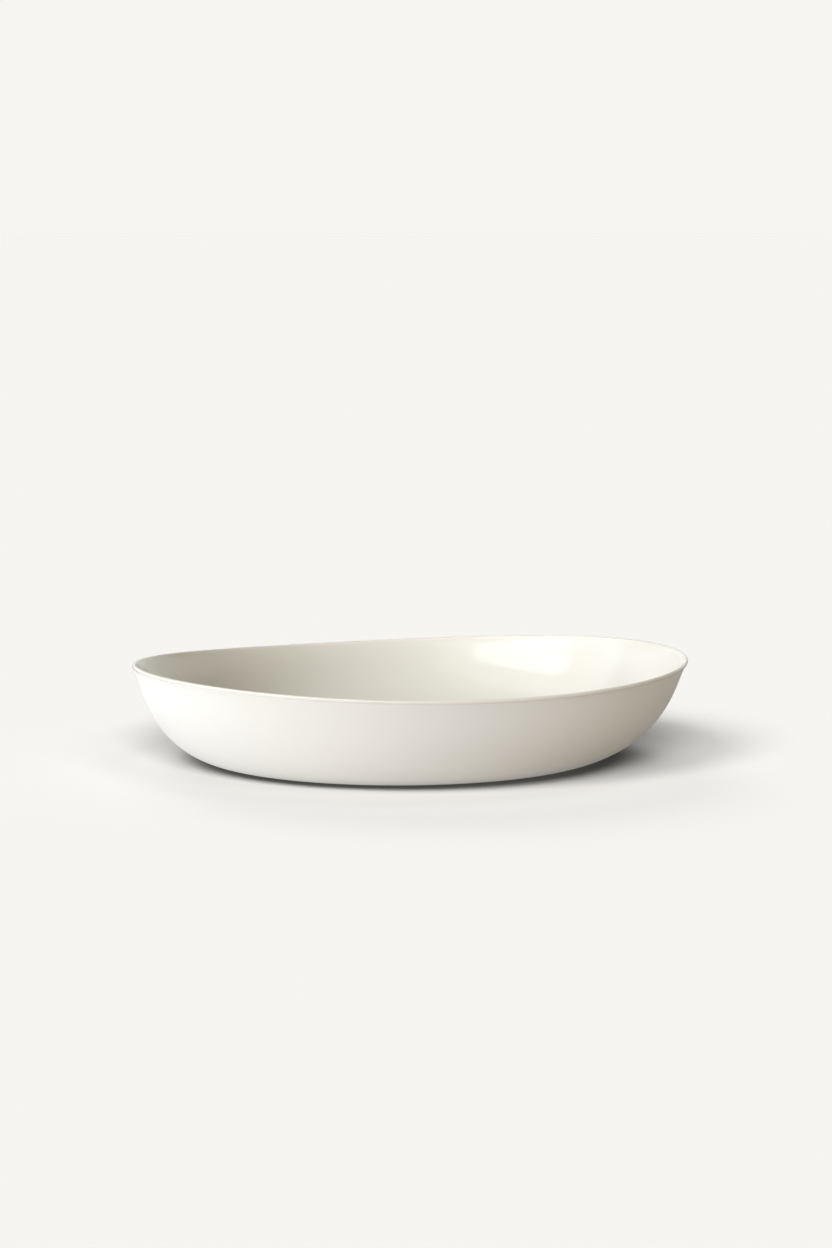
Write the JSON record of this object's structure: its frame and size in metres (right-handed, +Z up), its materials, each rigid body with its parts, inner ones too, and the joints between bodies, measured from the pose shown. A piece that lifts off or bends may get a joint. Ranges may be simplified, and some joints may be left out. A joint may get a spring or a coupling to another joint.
{
  "type": "serving bowl",
  "caption": "Shallow porcelain serving bowl with a hand-shaped waving lip, matte outside and gloss-glazed inside, on a low foot ring.",
  "frame": {"origin": "on the resting surface, under the middle of the round lip, which is the centre of the bowl's outline", "axes": "+Z up, out of the bowl's mouth; +X towards the higher, further-flared end of the lip; +Y towards the lower side of the lip, with the foot ring's centre 8 mm towards -X"},
  "size_m": [0.32, 0.32, 0.0602],
  "materials": {
    "biscuit": "matte unglazed porcelain, warm white, fine-grained",
    "foot_biscuit": "matte unglazed porcelain, ground flat on its resting face",
    "slip": "matte fired slip",
    "glaze": "gloss glaze, ivory white",
    "lip_glaze": "satin to gloss glaze bead on the lip"
  },
  "bodies": {
    "root": {"bowl_body": "biscuit", "foot_ring": "foot_biscuit", "foot_luting": "slip", "interior_glaze": "glaze", "lip_glaze": "lip_glaze"}
  },
  "joints": []
}
